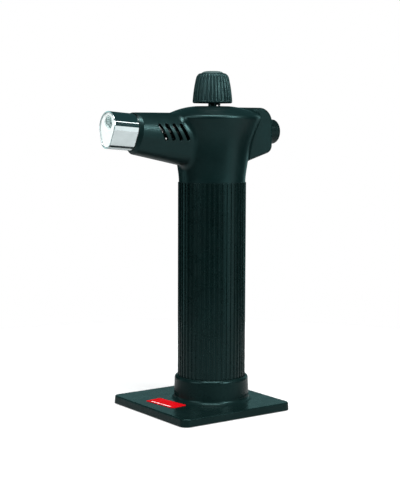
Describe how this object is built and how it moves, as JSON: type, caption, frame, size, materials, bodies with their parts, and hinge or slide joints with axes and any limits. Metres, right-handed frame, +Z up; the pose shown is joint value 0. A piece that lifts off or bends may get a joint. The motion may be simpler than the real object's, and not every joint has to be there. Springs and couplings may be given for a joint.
{
  "type": "butane torch",
  "caption": "Upright butane torch with a ribbed grip, side nozzle, gas knob and piezo push button, standing in a square base with a round collar.",
  "frame": {"origin": "where the torch's upright axis meets the surface the stand rests on", "axes": "+Z up along the grip, +X the way the flame points, +Y the torch's left side"},
  "size_m": [0.1134, 0.073, 0.1876],
  "materials": {
    "stand_plastic": "satin moulded, near black with a cool cast",
    "pad_rubber": "matt foam rubber",
    "red_label": "glossy printed film",
    "grip_plastic": "satin moulded, near black",
    "tank_plastic": "translucent nylon",
    "seal_rubber": "smooth rubber",
    "brass": "turned",
    "spring_steel": "drawn wire",
    "wick": "braided",
    "sintered": "sintered bronze",
    "steel": "turned",
    "dark_steel": "blackened",
    "knob_plastic": "satin moulded, near black",
    "housing_plastic": "satin moulded, near black with a cool cast",
    "ceramic": "unglazed white ceramic",
    "chrome": "polished",
    "button_plastic": "satin moulded black",
    "igniter_plastic": "moulded",
    "lead_rubber": "silicone insulation"
  },
  "bodies": {
    "stand": {"stand_base": "stand_plastic", "stand_pad": "pad_rubber", "stand_label": "red_label"},
    "torch": {"grip_sleeve": "grip_plastic", "grip_end_cap": "grip_plastic", "fuel_tank": "tank_plastic", "tank_lid": "tank_plastic", "tank_seal": "seal_rubber", "refill_body": "brass", "refill_seal": "seal_rubber", "refill_spring": "spring_steel", "fuel_wick": "wick", "valve_filter": "sintered", "valve_body": "brass", "gland_nut": "brass", "spindle_seal": "seal_rubber", "stop_pin": "dark_steel", "housing_left": "housing_plastic", "housing_right": "housing_plastic", "housing_screws": "dark_steel", "jet_holder": "brass", "gas_jet": "brass", "mixing_tube": "steel", "burner_coupling": "brass", "flame_tube": "steel", "flame_holder": "ceramic", "burner_barrel": "chrome", "burner_insert": "ceramic", "barrel_bush": "steel", "electrode": "steel", "electrode_insulator": "ceramic", "igniter_case": "igniter_plastic", "anvil": "brass", "piezo_crystal": "ceramic", "hammer_spring": "spring_steel", "return_spring": "spring_steel", "igniter_contact": "brass", "ignition_lead": "lead_rubber"},
    "needle": {"valve_needle": "steel"},
    "knob": {"valve_spindle": "steel", "flow_knob": "knob_plastic", "knob_cap": "knob_plastic", "knob_screw": "steel"},
    "button": {"ignition_button": "button_plastic", "igniter_plunger": "igniter_plastic"},
    "striker": {"hammer": "steel"},
    "filler": {"refill_stem": "brass"}
  },
  "joints": [
    {"name": "torch_lift_out", "type": "slide", "parent": "stand", "child": "torch", "axis": [0, 0, 1], "range_m": [0, 0.03]},
    {"name": "needle_lift", "type": "slide", "parent": "torch", "child": "needle", "axis": [0, 0, 1], "range_m": [0, 0.00076]},
    {"name": "knob_turn", "type": "hinge", "parent": "needle", "child": "knob", "pos_m": [0, 0, 0.1705], "axis": [0, 0, 1], "range_deg": [0, 270]},
    {"name": "ignition_press", "type": "slide", "parent": "torch", "child": "button", "axis": [1, 0, 0], "range_m": [0, 0.0045], "stiffness_N_per_m": 900, "springref_m": -0.003, "deforming": ["return_spring", "hammer_spring"]},
    {"name": "striker_travel", "type": "slide", "parent": "torch", "child": "striker", "axis": [1, 0, 0], "range_m": [0, 0.0015], "stiffness_N_per_m": 400, "springref_m": -0.001},
    {"name": "refill_press", "type": "slide", "parent": "torch", "child": "filler", "axis": [0, 0, 1], "range_m": [0, 0.0015], "stiffness_N_per_m": 600, "springref_m": -0.002, "deforming": ["refill_spring"]}
  ],
  "couplings": [
    {"joint": "needle_lift", "follows": "knob_turn", "m_per_rad": 0.00015915}
  ]
}
